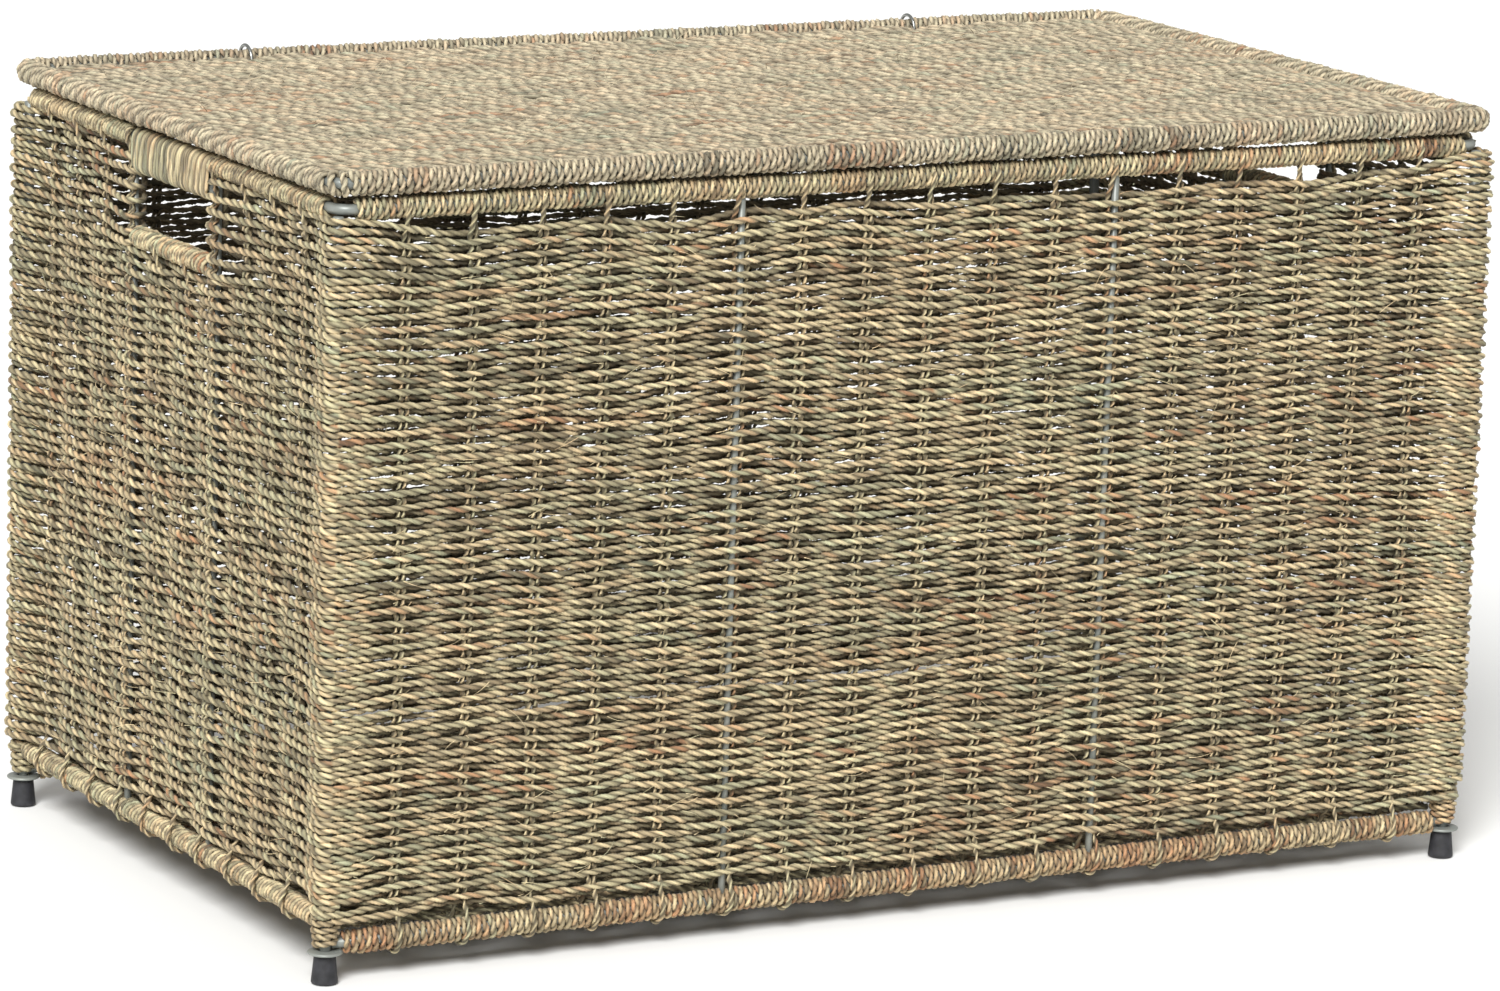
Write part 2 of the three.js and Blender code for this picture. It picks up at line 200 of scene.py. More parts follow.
# Steel rod with a grey powder coat: a fine orange-peel surface that gives broad soft highlights,
# and small chips at which the bare metal is brighter.
def paintedSteel(name, look):
    material, tree, shader = startMaterial(name)
    uneven = addGrains(tree, look["patchSize"], {"Detail": 4})
    chips = addGrains(tree, look["chipSize"], {"Detail": 5, "Roughness": 0.7})
    color = addNode(tree, "ShaderNodeMix", {"data_type": "RGBA", 7: linearColor(look["bare"])},
                    {0: addRamp(tree, chips, look["chipEdge"]), 6: addRamp(tree, uneven, look["coat"])})
    tree.links.new(color.outputs[2], shader.inputs["Base Color"])
    setRoughness(tree, shader, uneven, look["roughness"])
    setRelief(tree, shader, addGrains(tree, look["peelSize"], {"Detail": 2}), 0.2, look["relief"])
    shader.inputs["Metallic"].default_value = look["metallic"]
    return material


steelLook = {
    "patchSize": 25,
    "chipSize": 6,
    "chipEdge": [(0.66, 0.0), (0.70, 1.0)],
    "peelSize": 1.2,
    "relief": 0.05,
    "coat": [(0.3, "#7b807c"), (0.7, "#92958e")],
    "bare": "#a9aaa6",
    "roughness": (0.35, 0.55),
    "metallic": 0.25,
}
# Drawn steel wire without paint, brighter and smoother than the rods.
wireLook = {
    **steelLook,
    "patchSize": 12,
    "chipSize": 4,
    "coat": [(0.3, "#8f918d"), (0.7, "#a9aaa5")],
    "bare": "#c4c5c2",
    "roughness": (0.25, 0.4),
    "metallic": 0.9,
}


# Moulded rubber: nearly black, matt, with patches that a bloom of dust turns grey.
def blackRubber(name, look):
    material, tree, shader = startMaterial(name)
    dust = addGrains(tree, look["dustSize"], {"Detail": 5})
    tree.links.new(addRamp(tree, dust, look["rubber"]), shader.inputs["Base Color"])
    setRelief(tree, shader, dust, 0.25, look["relief"])
    shader.inputs["Roughness"].default_value = look["roughness"]
    shader.inputs["IOR"].default_value = look["refraction"]
    return material


rubberLook = {
    "dustSize": 5,
    "rubber": [(0.35, "#19191c"), (0.75, "#2f2f34")],
    "roughness": 0.62,
    "relief": 0.1,
    "refraction": 1.52,
}

wallGrass = seagrass("wallSeagrass", wallGrassLook)
whippingGrass = seagrass("whippingSeagrass", whippingGrassLook)
lidGrass = seagrass("lidSeagrass", lidGrassLook)
steel = paintedSteel("paintedSteel", steelLook)
wire = paintedSteel("hingeSteel", wireLook)
rubber = blackRubber("blackRubber", rubberLook)
print("materials made")


# Paths

def unit(vectors):
    return vectors / np.maximum(np.linalg.norm(vectors, axis=-1, keepdims=True), 1e-9)


def travelled(path):
    return np.concatenate([[0], np.cumsum(np.linalg.norm(np.diff(path, axis=0), axis=1))])


def resample(path, step):
    path = np.asarray(path, float)
    distance = travelled(path)
    count = max(int(round(distance[-1] / step)), 3)
    at = np.linspace(0, distance[-1], count + 1)
    return np.stack([np.interp(at, distance, path[:, i]) for i in range(3)], 1)


def soften(path, rounds, closed=False):
    path = np.array(path, float)
    for _ in range(rounds):
        if closed:
            path = (np.roll(path, 1, 0) + 2 * path + np.roll(path, -1, 0)) / 4
        else:
            path[1:-1] = (path[:-2] + 2 * path[1:-1] + path[2:]) / 4
    return path


# Smooth random movement along a length, with a new value about every spacing.
def drift(random, at, spacing, amount):
    knots = random.normal(0, amount, int(at[-1] / spacing) + 3)
    index = (at / spacing).astype(int)
    share = at / spacing - index
    share = share * share * (3 - 2 * share)
    return knots[index] * (1 - share) + knots[index + 1] * share


# One value for each blade of grass, with a short change from one blade to the next.
def blades(random, at, meanLength, draw):
    count = int(at[-1] / meanLength * 2) + 4
    ends = np.cumsum(meanLength * (0.35 + random.exponential(0.65, count)))
    values = draw(count)
    knots = np.stack([ends[:-1] + 1.5, ends[1:] - 1.5], 1).ravel()
    return np.interp(at, knots, np.repeat(values[1:], 2))


# Runs from value to value through the knots in smooth waves.
def waves(at, knots, values):
    index = np.clip(np.searchsorted(knots, at, side="right") - 1, 0, len(knots) - 2)
    share = (at - knots[index]) / (knots[index + 1] - knots[index])
    share = np.clip((1 - np.cos(np.pi * share)) / 2, 0, 1)
    return values[index] * (1 - share) + values[index + 1] * share


# Cords

cordLook = {
    "bladeLength": 60,
    "lumps": 0.12,
    "lumpSpacing": 9,
    "thinnest": 0.76,
    "thickest": 1.16,
    "unevenLay": 0.5,            # the plies were twisted by hand, tighter here and looser there
    "laySpacing": 25,
    "toneMiddle": 0.62,
    "toneSpread": 0.24,
    "hueMiddle": 0.46,
    "hueSpread": 0.16,
    "rustShare": 0.035,          # blades that turned orange-brown as they dried
}
plyShape = {
    8: [1, 0.86, 0.57, 0.86] * 2,
    6: [1, 0.7, 0.7] * 2,
}


# Two directions square to a path at each of its points, the first as near as can be to side.
def squareTo(path, side, closed):
    if closed:
        ahead, behind = np.roll(path, -1, 0), np.roll(path, 1, 0)
    else:
        ahead = np.vstack([path[1:], 2 * path[-1:] - path[-2:-1]])
        behind = np.vstack([2 * path[:1] - path[1:2], path[:-1]])
    tangent = unit(ahead - behind)
    side = np.broadcast_to(np.asarray(side, float), path.shape)
    across = unit(side - (side * tangent).sum(1, keepdims=True) * tangent)
    return across, np.cross(tangent, across)


# A cord of two plies along a path. Its rings of points follow the plies round, so a ply is a
# ridge of the mesh. A closed path ends where it starts, without repeating its first point.
def twistCord(random, path, radius, lay, side, closed=False, corners=8, look=cordLook):
    path = np.asarray(path, float)
    across, other = squareTo(path, side, closed)
    at = travelled(path)
    if closed:
        length = np.linalg.norm(np.roll(path, -1, 0) - path, axis=1).sum()
        turns = max(round(length / lay), 1)
    else:
        length = at[-1]
        turns = length / lay
    around = 2 * np.pi * np.arange(corners) / corners
    twist = 2 * np.pi * turns * at / length + random.uniform(0, 2 * np.pi)
    twist += drift(random, at, look["laySpacing"], look["unevenLay"]) * np.sin(np.pi * at / length)
    angle = twist[:, None] + around[None]
    firstPly = np.clip(0.5 + 0.8 * np.cos(around), 0, 1)[None]

    def overPlies(draw):
        first, second = draw(), draw()
        return first[:, None] * firstPly + second[:, None] * (1 - firstPly)

    def drawLumps():
        lumps = 1 + drift(random, at, look["lumpSpacing"], look["lumps"])
        return np.clip(lumps, look["thinnest"], look["thickest"])

    def drawTone(count):
        return random.normal(look["toneMiddle"], look["toneSpread"], count)

    def drawHue(count):
        values = random.normal(look["hueMiddle"], look["hueSpread"], count)
        return np.where(random.random(count) < look["rustShare"], random.uniform(0.85, 1.0, count), values)

    shape = np.array(plyShape[corners])
    reach = radius * shape[None] * overPlies(drawLumps)
    points = path[:, None] + (reach * np.cos(angle))[..., None] * across[:, None]
    points += (reach * np.sin(angle))[..., None] * other[:, None]
    tone = overPlies(lambda: blades(random, at, look["bladeLength"], drawTone))
    hue = overPlies(lambda: blades(random, at, look["bladeLength"], drawHue))
    grid = (len(path), corners)
    alongCord = np.broadcast_to(random.uniform(0, 5000) + at[:, None], grid)
    fibre = np.stack([alongCord, np.broadcast_to(radius * np.cos(around), grid),
                      np.broadcast_to(radius * np.sin(around), grid)], 2)
    return {
        "points": points.reshape(-1, 3),
        "rings": len(path),
        "corners": corners,
        "closed": closed,
        "tone": tone.ravel(),
        "hue": hue.ravel(),
        # Painted shade in the crease between the two plies: 1 at the grooves of a ring, 0 on the crowns of
        # the plies.
        "groove": np.tile((1 - shape) / (1 - shape.min()), len(path)),
        "fibre": fibre.reshape(-1, 3),
    }


# Painted shade deep in the weave: a cord turns a darker brown where it lies deep in the wall or the lid,
# standing in for the shadow there.
paintedDeepShade = {
    "full": 2.6,                 # millimetres out from the middle of the weave, where the painted shade ends
    # at this depth and below, the painted shade is full
    "none": -0.4,
    "deepest": 0.85,
}


# Paints shade onto a cord: the deeper a point lies, the more of the dark shade colour it takes on.
def paintDeepShade(tube, depth):
    shade = np.clip((paintedDeepShade["full"] - depth) / (paintedDeepShade["full"] - paintedDeepShade["none"]), 0, 1)
    tube["groove"] = np.maximum(tube["groove"], paintedDeepShade["deepest"] * shade)
    return tube


def wallDepth(points):
    return np.maximum(abs(points[:, 0]) - halfLength, abs(points[:, 1]) - halfDepth)


# A plain round rod or wire along a path.
def roundRod(path, radius, side, closed=False, corners=24):
    path = np.asarray(path, float)
    across, other = squareTo(path, side, closed)
    angle = 2 * np.pi * np.arange(corners) / corners
    points = path[:, None] + radius * np.cos(angle)[None, :, None] * across[:, None]
    points = points + radius * np.sin(angle)[None, :, None] * other[:, None]
    return {"points": points.reshape(-1, 3), "rings": len(path), "corners": corners, "closed": closed}


# Faces of a tube: quads between rings, and a flat face at each open end.
def tubeFaces(tube, first):
    rings, corners = tube["rings"], tube["corners"]
    spans = rings if tube["closed"] else rings - 1
    ring = np.arange(spans)[:, None] * corners
    nextRing = (np.arange(spans)[:, None] + 1) % rings * corners
    corner = np.arange(corners)[None]
    nextCorner = (corner + 1) % corners
    quads = np.stack([ring + corner, ring + nextCorner, nextRing + nextCorner, nextRing + corner], 2)
    quads = quads.reshape(-1, 4) + first
    ends = []
    if not tube["closed"]:
        last = (rings - 1) * corners
        ends = [np.arange(corners)[::-1] + first, np.arange(corners) + last + first]
    return quads, ends


def storePiece(name, mesh, material, body, nodes):
    mesh.materials.append(material)
    piece = bpy.data.objects.new(name, mesh)
    bpy.context.scene.collection.objects.link(piece)
    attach(piece, body)
    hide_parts(*nodes)


def buildTubes(name, tubes, material, body, nodes):
    points = np.concatenate([tube["points"] for tube in tubes]) * millimetre
    quadList, endList, first = [], [], 0
    for tube in tubes:
        quads, ends = tubeFaces(tube, first)
        quadList.append(quads)
        endList += ends
        first += len(tube["points"])
    quads = np.concatenate(quadList)
    vertices = np.concatenate([quads.ravel()] + endList).astype(np.int32)
    sizes = np.concatenate([np.full(len(quads), 4), [len(end) for end in endList]]).astype(np.int32)
    mesh = bpy.data.meshes.new(name)
    mesh.vertices.add(len(points))
    mesh.vertices.foreach_set("co", points.astype(np.float32).ravel())
    mesh.loops.add(len(vertices))
    mesh.loops.foreach_set("vertex_index", vertices)
    mesh.polygons.add(len(sizes))
    starts = np.concatenate([[0], np.cumsum(sizes)[:-1]]).astype(np.int32)
    mesh.polygons.foreach_set("loop_start", starts)
    mesh.polygons.foreach_set("use_smooth", np.ones(len(sizes), bool))
    mesh.update(calc_edges=True)
    if "tone" in tubes[0]:
        for attribute in ("tone", "hue", "groove"):
            values = np.concatenate([tube[attribute] for tube in tubes]).astype(np.float32)
            mesh.attributes.new(attribute, "FLOAT", "POINT").data.foreach_set("value", values)
        fibre = np.concatenate([tube["fibre"] for tube in tubes]).astype(np.float32)
        mesh.attributes.new("fibre", "FLOAT_VECTOR", "POINT").data.foreach_set("vector", fibre.ravel())
    storePiece(name, mesh, material, body, nodes)


# Walls

wallWeave = {
    "rowPitch": 3.45,
    "firstAbove": 13.3,          # the lowest row over the long rail
    "lastBelow": 12.3,           # the highest row under the top ring
    "lowUpTo": 9.8,              # rows below this height over an end rail miss the ends
    "handleFrom": 5,             # rows from here below the sill turn back at the hand hole
    "cordRadius": 2.1,
    "cordLay": 16,
    "step": 2.0,
    "reach": 2.3,                # how far the weft swings out and in at a warp
    "steelReach": 3.4,           # the same at a steel upright
    "postReach": 9.2,            # the weft always passes outside a corner post
    "innerPostReach": 7.4,       # every second row lies closer to the post
    "nearPostShare": 0.6,        # the post at the front left is held tighter than the others
    "turnReach": 5.2,            # round an upright beside a hand hole
    "longWarps": 17,
    "endWarps": 10,
    "unevenRow": (16, 0.22),     # each row by itself: spacing and amount
    "wander": (3, 130, 0.9),     # rows that move together, wavelength, amount
    "waver": (1, 60, 0.5),
    "topLift": 9,                # the top rows rise towards the corners and along the ends
    "liftFade": 45,
    "bandRows": 10,
}


# Even places along a wall, of which the nearest to each of its two steel uprights moves onto it.
def warpPlaces(count, half, steelAt):
    gap = 2 * half / (count + 1)
    places = -half + gap * np.arange(1, count + 1)
    isSteel = np.zeros(count, bool)
    for steelPlace in (-steelAt, steelAt):
        nearest = np.argmin(abs(places - steelPlace))
        places[nearest] = steelPlace
        isSteel[nearest] = True
    return places, isSteel


longPlaces, longSteel = warpPlaces(wallWeave["longWarps"], halfLength, uprightX)
endPlaces, endSteel = warpPlaces(wallWeave["endWarps"], halfDepth, jambY)


# The four walls in the order the weft goes round them, from the front left corner.
def wallSides():
    sides = []
    for start, along, outward, half, places, isSteel in (
        ((-halfLength, -halfDepth), (1, 0), (0, -1), halfLength, longPlaces, longSteel),
        ((halfLength, -halfDepth), (0, 1), (1, 0), halfDepth, endPlaces, endSteel),
        ((halfLength, halfDepth), (-1, 0), (0, 1), halfLength, longPlaces, longSteel),
        ((-halfLength, halfDepth), (0, -1), (-1, 0), halfDepth, endPlaces, endSteel),
    ):
        start, along = np.array(start, float), np.array(along, float)
        knots = np.concatenate([[0], places + half, [2 * half]])
        sides.append({"start": start, "end": start + 2 * half * along, "along": along,
                      "outward": np.array(outward, float), "length": 2 * half, "knots": knots,
                      "steel": np.concatenate([[False], isSteel, [False]]), "shift": len(sides) // 2})
    return sides


sides = wallSides()


def postReachOf(row, place):
    share = wallWeave["nearPostShare"] if place[0] < 0 and place[1] < 0 else 1
    return share * (wallWeave["postReach"] if row % 2 else wallWeave["innerPostReach"])


# Centre line, outward direction and weft swing of one stretch of wall, for one row.
def wallStretch(side, fromT, toT, row, startSwing=None, endSwing=None):
    count = max(int(round((toT - fromT) / wallWeave["step"])), 2)
    at = np.linspace(fromT, toT, count + 1)
    isOut = (np.arange(len(side["knots"])) + row + side["shift"]) % 2
    swing = np.where(side["steel"], wallWeave["steelReach"], wallWeave["reach"])
    swing = swing * np.where(isOut, 1.0, -1.0)
    swing[0] = postReachOf(row, side["start"])
    swing[-1] = postReachOf(row, side["end"])
    for t, ownSwing in ((fromT, startSwing), (toT, endSwing)):
        if ownSwing is not None:
            swing[np.argmin(abs(side["knots"] - t))] = ownSwing
    base = side["start"] + at[:, None] * side["along"]
    return base, np.repeat(side["outward"][None], len(at), 0), waves(at, side["knots"], swing)


# The quarter turn of the weft round the post at the end of a side.
def postTurn(side, nextSide, row):
    turn = np.linspace(0, np.pi / 2, 8)[1:-1, None]
    outward = np.cos(turn) * side["outward"] + np.sin(turn) * nextSide["outward"]
    reach = np.full(len(turn), postReachOf(row, side["end"]))
    return np.repeat(side["end"][None], len(turn), 0), outward, reach


# Where rows turn back: a place on a side, and the way on from there.
def turnAt(side, t, way):
    return {"center": side["start"] + t * side["along"], "outward": side["outward"],
            "ahead": way * side["along"]}


# The turn back round an upright or post, from the outside of the wall to the inside.
def turnBack(turn, reach, fromHeight, toHeight):
    angle = np.linspace(0, np.pi, 8)[1:-1]
    around = np.cos(angle)[:, None] * turn["outward"] + np.sin(angle)[:, None] * turn["ahead"]
    height = fromHeight + (toHeight - fromHeight) * angle / np.pi
    return np.column_stack([turn["center"] + reach * around, height])


perimeter = sum(side["length"] for side in sides)
rowFirst = longRail + wallWeave["firstAbove"]
rowCount = int((ringHeight - wallWeave["lastBelow"] - rowFirst) / wallWeave["rowPitch"]) + 1
rowHeights = rowFirst + wallWeave["rowPitch"] * np.arange(rowCount)


# Slow rise and fall that neighbouring rows share, periodic round the trunk.
def sharedWander(random, rows, blendRows, wavelength, amount):
    harmonics = int(perimeter / wavelength * 2)
    field = random.normal(size=(rows + 8 * blendRows, harmonics, 2))
    kernel = np.exp(-0.5 * (np.arange(-3 * blendRows, 3 * blendRows + 1) / blendRows) ** 2)
    kernel /= np.sqrt((kernel ** 2).sum())
    field = np.apply_along_axis(lambda column: np.convolve(column, kernel, "same"), 0, field)
    field = field[4 * blendRows:4 * blendRows + rows]
    order = np.arange(1, harmonics + 1)
    weight = np.exp(-0.5 * (order * wavelength / perimeter) ** 2)
    weight *= amount / np.sqrt((weight ** 2).sum())
    return field * weight[None, :, None]


wanderRandom = np.random.default_rng(11)
wanderField = sharedWander(wanderRandom, rowCount, *wallWeave["wander"])
waverField = sharedWander(wanderRandom, rowCount, *wallWeave["waver"])


# The height of a row at some places round the trunk.
def rowHeightAt(row, flat):
    x = np.clip(flat[:, 0], -halfLength, halfLength)
    y = np.clip(flat[:, 1], -halfDepth, halfDepth)
    nearWall = 8
    onFront = abs(y + halfDepth) < nearWall
    onBack = abs(y - halfDepth) < nearWall
    onEnd = ~onFront & ~onBack
    distance = np.where(onFront, x + halfLength, 0)
    distance = np.where(onEnd & (x > 0), 2 * halfLength + y + halfDepth, distance)
    distance = np.where(onBack, 2 * halfLength + 2 * halfDepth + halfLength - x, distance)
    distance = np.where(onEnd & (x < 0), 4 * halfLength + 2 * halfDepth + halfDepth - y, distance)
    angle = 2 * np.pi * distance / perimeter
    height = np.full(len(flat), rowHeights[row])
    for field in (wanderField, waverField):
        order = np.arange(1, field.shape[1] + 1)
        phase = angle[:, None] * order[None]
        height += np.cos(phase) @ field[row, :, 0] + np.sin(phase) @ field[row, :, 1]
    if rowHeights[row] > sillHeight:
        rise = (rowHeights[row] - sillHeight) / (rowHeights[-1] - sillHeight)
        fromCorner = np.where(onFront | onBack, halfLength - abs(x), 0)
        height += wallWeave["topLift"] * rise * np.exp(-(fromCorner / wallWeave["liftFade"]) ** 2)
    return height


def rowPath(row, stretches):
    base, outward, swing = (np.concatenate(part) for part in zip(*stretches))
    flat = base + outward * swing[:, None]
    return np.column_stack([flat, rowHeightAt(row, flat)])


def weftCord(random, path, closed):
    cord = twistCord(random, path, wallWeave["cordRadius"], wallWeave["cordLay"], (0, 0, 1), closed)
    # Painted shade where the weft lies deep in the wall.
    return paintDeepShade(cord, wallDepth(cord["points"]))


def closedRow(random, row):
    stretches = []
    for side, nextSide in zip(sides, sides[1:] + sides[:1]):
        stretches.append(wallStretch(side, 0, side["length"], row))
        stretches.append(postTurn(side, nextSide, row))
    path = rowPath(row, stretches)
    path[:, 2] += drift(random, travelled(path), *wallWeave["unevenRow"])
    return weftCord(random, path, True)


# Rows that turn back at both ends. Each part is (side, from, to); posts between parts are turned.
# A row sets off inside the wall, where the turn before it ended, and arrives at the next turn
# outside. Only the very first one starts outside. Every second row runs the other way.
def snakeRows(random, rows, parts, turns, endReach):
    pieces = []
    for number, row in enumerate(rows):
        stretches = []
        isBackward = number % 2
        for i, (side, fromT, toT) in enumerate(parts):
            isFirst, isLast = i == 0, i == len(parts) - 1
            startSwing = endReach * (1 if isBackward or number == 0 else -1) if isFirst else None
            endSwing = endReach * (-1 if isBackward else 1) if isLast else None
            stretches.append(wallStretch(side, fromT, toT, row, startSwing, endSwing))
            if not isLast:
                stretches.append(postTurn(side, parts[i + 1][0], row))
        path = rowPath(row, stretches)
        pieces.append(path[::-1] if isBackward else path)
        if number < len(rows) - 1:
            nextHeight = rowHeights[rows[number + 1]]
            pieces.append(turnBack(turns[isBackward], endReach, pieces[-1][-1, 2], nextHeight))
    return weftCord(random, resample(np.concatenate(pieces), wallWeave["step"]), False)


def addWall(name, cords, nodes):
    buildTubes(name, cords, wallGrass, "body", nodes)


wallNodes = ["front_weave", "right_weave", "back_weave", "left_weave"]
lowRows = [row for row in range(rowCount) if rowHeights[row] < endRail + wallWeave["lowUpTo"]]
handleRows = [row for row in range(rowCount) if rowHeights[row] > sillHeight - wallWeave["handleFrom"]]
fullRows = [row for row in range(rowCount) if row not in lowRows and row not in handleRows]


def buildWalls():
    random = np.random.default_rng(23)
    band = wallWeave["bandRows"]
    for number, start in enumerate(range(0, len(fullRows), band)):
        cords = [closedRow(random, row) for row in fullRows[start:start + band]]
        addWall(f"wallBand{number + 1}", cords, wallNodes)
    front, right, back, left = sides
    low = []
    for side in (front, back):
        turns = [turnAt(side, side["length"], 1), turnAt(side, 0, -1)]
        parts = [(side, 0, side["length"])]
        low.append(snakeRows(random, lowRows, parts, turns, wallWeave["innerPostReach"]))
    addWall("lowRows", low, wallNodes)
    toJamb = halfDepth - jambY
    for name, before, side, after in (("front", left, front, right), ("back", right, back, left)):
        fromJamb = before["length"] - toJamb
        parts = [(before, fromJamb, before["length"]), (side, 0, side["length"]), (after, 0, toJamb)]
        turns = [turnAt(after, toJamb, 1), turnAt(before, fromJamb, -1)]
        cord = snakeRows(random, handleRows, parts, turns, wallWeave["turnReach"])
        addWall(f"{name}HandleRows", [cord], wallNodes)


buildWalls()
print("walls woven:", rowCount, "rows")


# Warps

warpLook = {
    "radius": 1.55,
    "lay": 12,
    "bladeLength": 110,
    "toneMiddle": 0.8,
    "apart": 1.85,               # half the distance between the two cords of a pair
    "besideSteel": 3.5,
    "swing": 1.25,               # the weft pushes the warps in and out from row to row
    "swingEnds": 8,              # how far from the rods the swing starts
    "aheadOfSteel": 2.6,         # on the ends the pair lies over the upright and hides it
    "loopRadius": 6.2,           # over the whipping at the top, below the closed lid
    "loopFlat": 0.8,
    "bottomRadius": 7.9,
    "lead": 18,                  # from a rod to where the two sides of a loop part
    "step": 1.3,
    "sideways": (40, 0.35),      # uneven course: spacing and amount
    "jitter": 0.5,
    "quietEnds": 9,              # rows nearer than this to a rod do not push the warps
}


# How far the rows push a warp out of the wall at each of some heights.
def warpSwing(side, t, bottom, top, heights):
    place = (side["start"] + t * side["along"])[None]
    knot = np.argmin(abs(side["knots"] - t))
    rows = [(row, rowHeightAt(row, place)[0]) for row in range(rowCount)]
    quiet = warpLook["quietEnds"]
    rows = [(row, height) for row, height in rows if bottom + quiet < height < top - quiet]
    pushes = [-1 if (knot + row + side["shift"]) % 2 else 1 for row, _ in rows]
    known = [bottom, *[height for _, height in rows], top]
    swing = waves(heights, np.array(known), np.array([0, *pushes, 0]) * warpLook["swing"])
    return np.where((heights > bottom) & (heights < top), swing, 0)


# A loop of thin cord from one rod up to another and back, in the plane of a wall. Coordinates:
# along the wall, out of the wall, height.
def warpLoop(place, bottomHeight, topHeight, apart):
    lead, radius, bottomRadius = (warpLook[name] for name in ("lead", "loopRadius", "bottomRadius"))
    touch = math.acos(radius / lead)
    bottomTouch = math.acos(bottomRadius / lead)
    points = [[place - apart, 0, bottomHeight + lead], [place - apart, 0, topHeight - lead]]
    share = np.linspace(-1, 1, 12)
    for angle, s in zip(np.linspace(math.pi * 1.5 - touch, -math.pi / 2 + touch, 12), share):
        points.append([place + apart * s, -radius * math.cos(angle),
                       topHeight + radius * warpLook["loopFlat"] * math.sin(angle)])
    points.append([place + apart, 0, topHeight - lead])
    points.append([place + apart, 0, bottomHeight + lead])
    for angle, s in zip(np.linspace(math.pi / 2 - bottomTouch, -math.pi * 1.5 + bottomTouch, 12), -share):
        points.append([place + apart * s, bottomRadius * math.cos(angle),
                       bottomHeight + bottomRadius * math.sin(angle)])
    points.append(points[0])
    path = resample(np.array(points), warpLook["step"])[:-1]
    return soften(path, 2, closed=True)


# One warp: axis is 0 on a long wall and 1 on an end, sign the way out of the wall.
def wallWarp(random, side, axis, sign, place, isSteel):
    rail, topHeight, apart, jitter = longRail, ringHeight, warpLook["apart"], warpLook["jitter"]
    if axis == 0 and isSteel:
        apart = warpLook["besideSteel"]
    if axis == 1:
        rail = endRail
        topHeight = sillHeight if abs(place) < jambY - 5 else ringHeight
        jitter = 0 if isSteel else jitter
    loop = warpLoop(place + (random.normal(0, jitter) if jitter else 0), rail, topHeight, apart)
    if axis == 1 and isSteel:
        fromEnds = np.minimum(loop[:, 2] - rail, topHeight - loop[:, 2])
        loop[:, 1] += warpLook["aheadOfSteel"] * np.clip((fromEnds - 8) / 12, 0, 1)
    at = travelled(loop)
    t = (place - side["start"][axis]) * side["along"][axis]
    ends = warpLook["swingEnds"]
    loop[:, 1] += warpSwing(side, t, rail + ends, topHeight - ends, loop[:, 2])
    loop[:, 0] += drift(random, at, *warpLook["sideways"])
    path = loop.copy()
    path[:, axis] = loop[:, 0]
    path[:, 1 - axis] = sign * ((halfLength if axis else halfDepth) + loop[:, 1])
    look = {**cordLook, "bladeLength": warpLook["bladeLength"], "toneMiddle": warpLook["toneMiddle"]}
    cord = twistCord(random, path, warpLook["radius"], warpLook["lay"], (1 - axis, axis, 0), True, 6, look)
    # Painted shade where the warp lies deep in the wall, a little less than on the weft at the same depth.
    return paintDeepShade(cord, wallDepth(cord["points"]) + 1)


def buildWarps():
    random = np.random.default_rng(31)
    front, right, back, left = sides
    walls = (("front", front, -1), ("back", back, 1), ("left", left, -1), ("right", right, 1))
    for name, side, sign in walls:
        axis = 1 if name in endNames else 0
        places = zip(endPlaces, endSteel) if axis else zip(longPlaces, longSteel)
        cords = [wallWarp(random, side, axis, sign, place, isSteel) for place, isSteel in places]
        addWall(f"{name}Warps", cords, [f"{name}_weave"])


buildWarps()
print("warps looped")


# Whipping

whipping = {
    "bodyRadius": 4.75,          # from the rod axis to the middle of the cord
    "bodyPitch": 3.7,
    "bodyCord": 1.85,
    "railRadius": 5.1,           # the rails under the long walls carry a thicker cord
    "railPitch": 4.1,
    "railCord": 2.05,
    "lidRadius": 5.1,
    "lidPitch": 4.4,
    "lidCord": 2.15,
    "cordLay": 12,
    "step": 1.7,
    "unevenPitch": 0.2,
    "unevenRadius": 0.12,
    "bareCorner": 10,
    "gripPitch": 2.4,
    "gripCord": 1.5,
    "gripLay": 48,               # hardly twisted, so the band looks smooth
    "jambGap": 5.2,              # clear of the uprights beside the hand hole
    "postRadius": 6.2,
    "postPitch": 3.9,
    "postCord": 2.1,
    "postTop": 9,                # over the end rail
    "postSqueeze": 0.2,          # drawn in at the flange
    "squeezeHeight": 7,
    "rimPitchDrift": (6, 0.3),   # spacing and amount
    "rimRadiusDrift": (9, 0.15),
    "hingeBite": 0.8,            # the hinge loops press into the rim's whipping
    "biteWidth": 4,
}


# A helix round a straight rod, from one point to another.
def rodHelix(random, start, end, radius, pitch, up):
    start, end = np.array(start, float), np.array(end, float)
    length = np.linalg.norm(end - start)
    axis = (end - start) / length
    up = np.array(up, float)
    across = np.cross(axis, up)
    turns = length / pitch
    count = int(turns * 2 * math.pi * radius / whipping["step"])
    at = np.linspace(0, length, count + 1)
    angle = 2 * np.pi * turns * at / length
    slide = at + drift(random, at, 1.3 * pitch, whipping["unevenPitch"])
    away = radius + drift(random, at, 2.2 * pitch, whipping["unevenRadius"])
    path = start + slide[:, None] * axis
    path += (away * np.cos(angle))[:, None] * up + (away * np.sin(angle))[:, None] * across
    return path, axis


def whipRod(random, name, node, start, end, kind="body", look=cordLook):
    radius, pitch, cord = (whipping[kind + part] for part in ("Radius", "Pitch", "Cord"))
    path, axis = rodHelix(random, start, end, radius, pitch, (0, 0, 1))
    tube = twistCord(random, path, cord, whipping["cordLay"], axis, look=look)
    buildTubes(name, [tube], whippingGrass, "body", [node])


